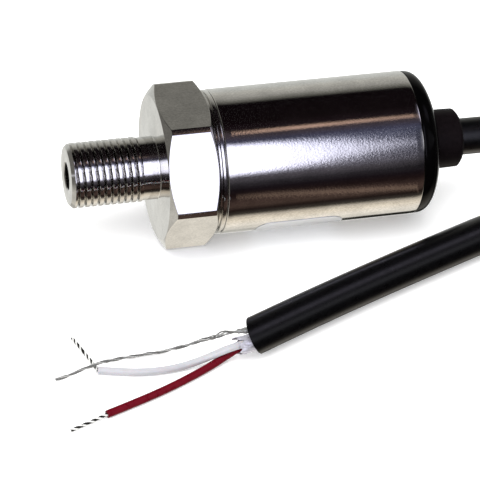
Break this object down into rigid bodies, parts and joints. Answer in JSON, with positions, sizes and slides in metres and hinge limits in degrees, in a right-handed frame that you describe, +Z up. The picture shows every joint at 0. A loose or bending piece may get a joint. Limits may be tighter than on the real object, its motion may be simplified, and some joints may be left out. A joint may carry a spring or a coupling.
{
  "type": "pressure transmitter",
  "caption": "Compact cylindrical pressure transmitter with a threaded port, spanner hex, steel can, black rear cap and a fixed screened cable with stripped wire ends.",
  "frame": {"origin": "middle of the hex flat that the instrument lies on", "axes": "+X along the instrument from the pressure port to the cable, +Z up, and -Y the side where the cable's stripped end lies"},
  "size_m": [0.1689, 0.0721, 0.022],
  "materials": {
    "stainless": "turned stainless steel, satin",
    "cap_plastic": "moulded black, glossy",
    "bushing_rubber": "moulded black rubber",
    "cable_jacket": "soft black cable jacket",
    "seal_rubber": "black O-ring rubber",
    "ceramic": "white alumina ceramic",
    "gold_pin": "plated pins",
    "spring_steel": "spring steel",
    "natural_plastic": "natural moulded plastic",
    "board_laminate": "green circuit board",
    "ribbon_film": "amber film",
    "chip_black": "moulded component body",
    "capacitor_can": "plain can",
    "chip_ceramic": "fired ceramic chips",
    "liner_film": "milky film",
    "label_film": "blank silver-white film",
    "crimp_brass": "nickel-plated brass",
    "white_insulation": "light insulation",
    "red_insulation": "deep red insulation",
    "tinned_copper": "tinned strands",
    "foil_screen": "foil film",
    "tie_nylon": "black nylon strap"
  },
  "bodies": {
    "root": {"pressure_port": "stainless", "cell_seal": "seal_rubber", "sensor_cell": "ceramic", "cell_pins": "gold_pin", "retaining_ring": "spring_steel", "spacer_ring": "natural_plastic", "sensor_ribbon": "ribbon_film", "front_board": "board_laminate", "rear_board": "board_laminate", "header_pins": "gold_pin", "header_strip": "chip_black", "signal_chip": "chip_black", "voltage_regulator": "chip_black", "protection_diode": "chip_black", "filter_capacitor": "capacitor_can", "chip_capacitors": "chip_ceramic", "chip_resistors": "chip_ceramic", "insulating_liner": "liner_film", "housing_can": "stainless", "name_label": "label_film", "cap_seal": "seal_rubber", "rear_cap": "cap_plastic", "cable_bushing": "bushing_rubber", "cable_clamp": "crimp_brass", "inner_white_lead": "white_insulation", "inner_red_lead": "red_insulation", "inner_drain_lead": "tinned_copper", "cable_out": "cable_jacket", "cable_coil": "cable_jacket", "cable_back": "cable_jacket", "coil_ties": "tie_nylon", "shield_film": "foil_screen", "white_wire": "white_insulation", "white_strands": "tinned_copper", "red_wire": "red_insulation", "red_strands": "tinned_copper", "drain_wire": "tinned_copper"}
  },
  "joints": []
}
